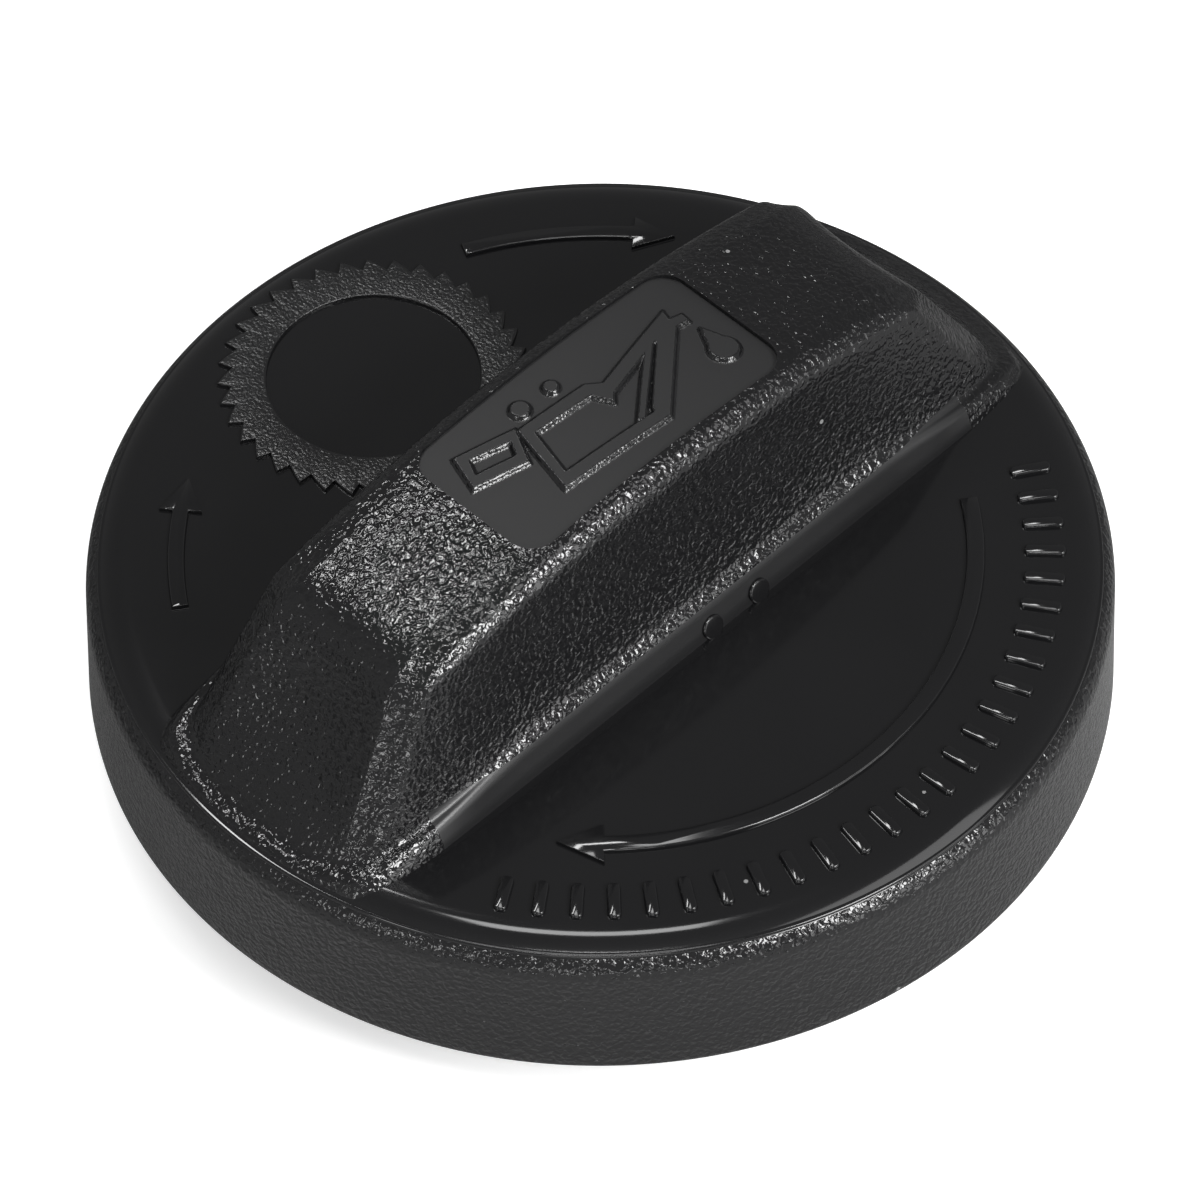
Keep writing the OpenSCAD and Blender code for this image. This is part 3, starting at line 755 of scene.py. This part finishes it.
rows_n, cols_n = 171, 351
v, u = np.meshgrid(np.linspace(-1, 1, rows_n), np.linspace(-1, 1, cols_n), indexing="ij")
y = v * PANEL_W / 2
past = np.clip(np.abs(y) - (PANEL_W / 2 - PANEL_CORNER), 0, PANEL_CORNER)
x = u * (PANEL_L / 2 - PANEL_CORNER + np.sqrt(PANEL_CORNER ** 2 - past ** 2))
sign = np.maximum(inside_distance(x, y, can_out), -inside_distance(x, y, can_in))
sign = np.minimum(sign, inside_distance(x, y, rib_line))
sign = np.minimum(sign, np.maximum(inside_distance(x, y, handle_out),
                                   -inside_distance(x, y, handle_in)))
for knob_x, knob_y, knob_r in ((-3.9, 3.5, 0.75), (-1.1, 3.4, 0.6)):
    sign = np.minimum(sign, np.hypot(x - knob_x, y - knob_y) - knob_r)
tip = np.array(drop_tip) - drop_at
drop_len = np.hypot(*tip)
along = ((x - drop_at[0]) * tip[0] + (y - drop_at[1]) * tip[1]) / drop_len
aside = ((x - drop_at[0]) * tip[1] - (y - drop_at[1]) * tip[0]) / drop_len
drop = np.hypot(along, aside) - drop_r
cone = np.abs(aside) - np.clip(drop_r * (1 - along / drop_len), 0, drop_r)
drop = np.where((along > 0) & (along < drop_len), np.minimum(drop, cone * 0.9), drop)
sign = np.minimum(sign, drop)
raised = ease(0.5 - sign / (2 * SIGN_SOFT))
z = DISC_Z + crown_z(x) - PANEL_DEPTH + SIGN_H * raised
top_verts = np.stack([x, y, z], -1).reshape(-1, 3)
row, col = np.meshgrid(np.arange(rows_n - 1), np.arange(cols_n - 1), indexing="ij")
first = row * cols_n + col
plate_faces = np.stack([first, first + 1, first + cols_n + 1, first + cols_n],
                       -1).reshape(-1, 4).tolist()
index = np.arange(rows_n * cols_n).reshape(rows_n, cols_n)
loop = np.concatenate([index[0, :-1], index[:-1, -1], index[-1, :0:-1], index[:0:-1, 0]])
m = len(loop)
low_verts = top_verts[loop].copy()
low_verts[:, 2] = PLATE_Z
k = np.arange(m)
base = len(top_verts)
plate_faces += np.stack([loop, base + k, base + (k + 1) % m, np.roll(loop, -1)], -1).tolist()
plate_faces.append((base + k[::-1]).tolist())
plate = new_piece("sign_panel", np.vstack([top_verts, low_verts]), plate_faces, 50)

sign_mask = plate.data.attributes.new("sign", "FLOAT", "POINT")
sign_mask.data.foreach_set("value", np.concatenate([
    ease((SIGN_SHINE - np.abs(sign)) / SIGN_FADE).ravel(), np.zeros(m)]).astype(np.float32))
finish(plate, nylon("nylon_sign", 0.00004, 0.24, (0.13, 0.18), (0.56, 0.62),
                    grained_by="sign"))


# Raised marks on the disc
#
# Low marks engraved in the polished plate of the mould, so they stand up from the disc: a
# grained ring with a toothed rim round a bare place, plain bars, and arrows for the closing
# turn. Two round pin marks show in the lip.
MARK_H = 0.3


def raised_shape(outline, height, inset=0.16, sink=0.3):
    """A closed form from an outline: sunk foot, sloping side, rounded edge and flat top.

    Each level is the outline moved in along its own normals by a share of the inset."""
    outline = np.asarray(outline, float)
    ahead = np.roll(outline, -1, 0) - outline
    behind = outline - np.roll(outline, 1, 0)
    tangent = ahead / np.linalg.norm(ahead, axis=1)[:, None]
    tangent = tangent + behind / np.linalg.norm(behind, axis=1)[:, None]
    tangent /= np.linalg.norm(tangent, axis=1)[:, None]
    inward = np.stack([-tangent[:, 1], tangent[:, 0]], -1)
    steps = [(0, -sink), (0, 0.02), (0.35, height * 0.65), (0.6, height * 0.9), (1, height)]
    verts = np.vstack([np.hstack([outline + inward * inset * s,
                                  np.full((len(outline), 1), DISC_Z + z)]) for s, z in steps])
    n = len(outline)
    k = np.arange(n)
    faces = []
    for level in range(len(steps) - 1):
        a = level * n
        faces += np.stack([a + k, a + (k + 1) % n, a + n + (k + 1) % n, a + n + k], -1).tolist()
    faces.append((k[::-1]).tolist())
    faces.append((k + (len(steps) - 1) * n).tolist())
    return verts, faces


def joined(shapes):
    """Several closed forms as one mesh."""
    all_verts, all_faces, start = [], [], 0
    for verts, faces in shapes:
        all_verts.append(verts)
        all_faces += [[start + i for i in f] for f in faces]
        start += len(verts)
    return np.vstack(all_verts), all_faces


def round_bar(radius, angle, length, width):
    """A bar standing across an arc: a round-ended box turned to that angle."""
    box = round_box(length, width, width * 0.42, 5)
    a = math.radians(angle)
    box = box + [radius, 0]
    return np.stack([box[:, 0] * math.cos(a) - box[:, 1] * math.sin(a),
                     box[:, 0] * math.sin(a) + box[:, 1] * math.cos(a)], -1)


def arc_arrow(radius, start, end, width, head):
    """A band along an arc from start to end, in degrees, with a pointed head at its end."""
    sign_of = 1 if end > start else -1
    head_turn = math.degrees(head / radius) * sign_of
    a = np.radians(np.linspace(start, end - head_turn, 40))
    outer = np.stack([(radius + width / 2) * np.cos(a), (radius + width / 2) * np.sin(a)], -1)
    inner = np.stack([(radius - width / 2) * np.cos(a), (radius - width / 2) * np.sin(a)], -1)
    neck, tip = math.radians(end - head_turn), math.radians(end)
    wing = width * 1.25
    barb = np.array([[(radius + wing) * math.cos(neck), (radius + wing) * math.sin(neck)],
                     [radius * math.cos(tip), radius * math.sin(tip)],
                     [(radius - wing) * math.cos(neck), (radius - wing) * math.sin(neck)]])
    line = np.vstack([outer, barb, inner[::-1]])
    return line if sign_of > 0 else line[::-1]


bar_r, bar_l, bar_w, bar_from, bar_to, bar_step = 30.2, 2.9, 0.95, -147.5, -29.0, 4.6
arrows = [(25.5, -36, -142, 1.3, 3.2), (28.8, 145, 122, 1.2, 3.0), (28.8, 64, 34, 1.2, 3.0)]
marks = [raised_shape(round_bar(bar_r, angle, bar_l, bar_w), MARK_H)
         for angle in np.arange(bar_from, bar_to, bar_step)]
marks += [raised_shape(arc_arrow(*arrow), MARK_H) for arrow in arrows]
verts, faces = joined(marks)
disc_marks = new_piece("disc_marks", verts, faces, 50)
polished_black = nylon("nylon_polished", 0, 0.4, (0.08, 0.12))
finish(disc_marks, polished_black)

ring_at, ring_in, tooth_root, tooth_tip, tooth_count = (0.0, 22.0), 7.4, 9.9, 10.9, 36
tooth_rise = 0.8           # share of a tooth's pitch in which it rises
ring_profile = rounded([(ring_in, DISC_Z - 0.3, 0), (ring_in + 0.04, DISC_Z + MARK_H, 0.14),
                        (tooth_root - 0.04, DISC_Z + MARK_H, 0.14),
                        (tooth_root, DISC_Z - 0.3, 0)], 5)
verts, faces = turned(ring_profile, tooth_count * 10, ring_at, closed=True)
turn = np.arctan2(verts[:, 1] - ring_at[1], verts[:, 0] - ring_at[0])
reach = np.hypot(verts[:, 0] - ring_at[0], verts[:, 1] - ring_at[1])
tooth = (turn / (2 * np.pi) * tooth_count) % 1
tooth = np.where(tooth < tooth_rise, tooth / tooth_rise, (1 - tooth) / (1 - tooth_rise))
outer = np.clip((reach - ring_in) / (tooth_root - ring_in), 0, 1) ** 2
grow = 1 + outer * tooth * (tooth_tip - tooth_root) / reach
verts[:, :2] = np.array(ring_at) + (verts[:, :2] - ring_at) * grow[:, None]
label_ring = new_piece("label_ring", verts, faces, 40)
finish(label_ring, nylon("nylon_fine_grained", 0.00005, 0.24, (0.24, 0.32)))

pin_r, pin_out, pin_sunk, pin_round, pin_z = 0.9, 0.2, 0.6, 0.16, 0.66
pin_profile = rounded([(0, pin_out, 0), (pin_r, pin_out, pin_round), (pin_r, -pin_sunk, 0),
                       (0, -pin_sunk, 0)], 6)
pin_verts, pin_faces = turned(pin_profile, 40)
pin_face = math.atan2(LIP_H, LIP_LEAN)
pin_axes = np.array([[1, 0, 0], [0, math.cos(pin_face), math.sin(pin_face)],
                     [0, -math.sin(pin_face), math.cos(pin_face)]])
pins = [(pin_verts @ pin_axes + at, [f[::-1] for f in pin_faces])
        for at in ((-0.03, -10.63, DISC_Z + pin_z), (4.42, -10.66, DISC_Z + pin_z))]
verts, faces = joined(pins)
pin_marks = new_piece("pin_marks", verts, faces, 40)
finish(pin_marks, polished_black)


# Lugs and ribs
#
# Two bayonet lugs stand out from the plug. The top of each is a cam that climbs, and draws the
# cap down on its ring as it's turned. Thin ribs stiffen the disc between keeper and skirt.
LUG_ANGLE, LUG_OUT, LUG_THIN, LUG_CLIMB, LUG_Z = 64.0, 3.0, 2.2, 1.2, 3.2
LUG_ROOT, LUG_EDGE, LUG_EASE, LUG_STEPS = 1.2, 0.25, 0.3, 33


def lug(middle):
    """Sections (r, z) along an arc: a box whose top climbs evenly, with eased ends."""
    a = np.radians(middle + LUG_ANGLE * np.linspace(-0.5, 0.5, LUG_STEPS))
    t = np.linspace(0, 1, LUG_STEPS)
    end = LUG_EASE * (1 - np.clip(np.minimum(t, 1 - t) * 12, 0, 1)) ** 2
    high = LUG_Z + LUG_THIN + LUG_CLIMB * t - end
    low = np.full(LUG_STEPS, LUG_Z) + end
    in_r, out_r = np.full(LUG_STEPS, PLUG_R - LUG_ROOT), PLUG_R + LUG_OUT - end
    section = [(in_r, low), (out_r - LUG_EDGE, low), (out_r, low + LUG_EDGE),
               (out_r, high - LUG_EDGE), (out_r - LUG_EDGE, high), (in_r, high)]
    verts = np.stack([np.stack([r * np.cos(a), r * np.sin(a), z], -1) for r, z in section], 1)
    n = len(section)
    last = LUG_STEPS - 1
    row, col = np.meshgrid(np.arange(last), np.arange(n), indexing="ij")
    nxt = (col + 1) % n
    faces = np.stack([row * n + col, row * n + nxt, (row + 1) * n + nxt,
                      (row + 1) * n + col], -1).reshape(-1, 4).tolist()
    faces += [list(range(n))[::-1], list(range(last * n, LUG_STEPS * n))]
    return verts.reshape(-1, 3), faces


verts, faces = joined([lug(90), lug(270)])
lugs = new_piece("bayonet_lugs", verts, [f[::-1] for f in faces], 40)
rib_black = nylon("nylon_ribs", 0.00006, 0.4, (0.2, 0.26))
finish(lugs, rib_black)

RIB_T, RIB_H, RIB_COUNT = 1.4, 3.0, 12
rib_side = np.array([(KEEPER_OUT - 0.7, UNDER_Z + 1.2), (KEEPER_OUT - 0.7, UNDER_Z - 1.5),
                     (KEEPER_OUT, UNDER_Z - 1.5), (RIM_R - SKIRT_WALL - 1.5, UNDER_Z - RIB_H),
                     (RIM_R - 1.2, UNDER_Z - RIB_H), (RIM_R - 1.2, UNDER_Z + 1.2)])
ribs = []
for i in range(RIB_COUNT):
    block, rib_faces = prism(rib_side, "Y", -RIB_T / 2, RIB_T / 2)
    a = 2 * np.pi * (i + 0.5) / RIB_COUNT
    ribs.append((np.stack([block[:, 0] * np.cos(a) - block[:, 1] * np.sin(a),
                           block[:, 0] * np.sin(a) + block[:, 1] * np.cos(a),
                           block[:, 2]], -1), rib_faces))
verts, faces = joined(ribs)
disc_ribs = new_piece("disc_ribs", verts, faces, 30)
finish(disc_ribs, rib_black)


# The sealing ring
#
# A moulded rubber ring that lies round the plug against the disc. Its CAD form is right, so
# it keeps its node and gets dull rubber.
RUBBER_DARK, RUBBER_LIGHT = (0.022, 0.022, 0.024, 1), (0.04, 0.04, 0.042, 1)

material, nodes, links, shader = new_material("seal_rubber")
shader.inputs["Roughness"].default_value = 0.7
bloom = nodes.new("ShaderNodeTexNoise")
bloom.inputs["Scale"].default_value = 400
coords = nodes.new("ShaderNodeTexCoord")
links.new(coords.outputs["Object"], bloom.inputs["Vector"])
tint = nodes.new("ShaderNodeMix")
tint.data_type = "RGBA"
tint.inputs["A"].default_value = RUBBER_DARK
tint.inputs["B"].default_value = RUBBER_LIGHT
links.new(bloom.outputs["Fac"], tint.inputs["Factor"])
links.new(tint.outputs["Result"], shader.inputs["Base Color"])
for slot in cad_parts["seal_ring"].material_slots:
    slot.material = material
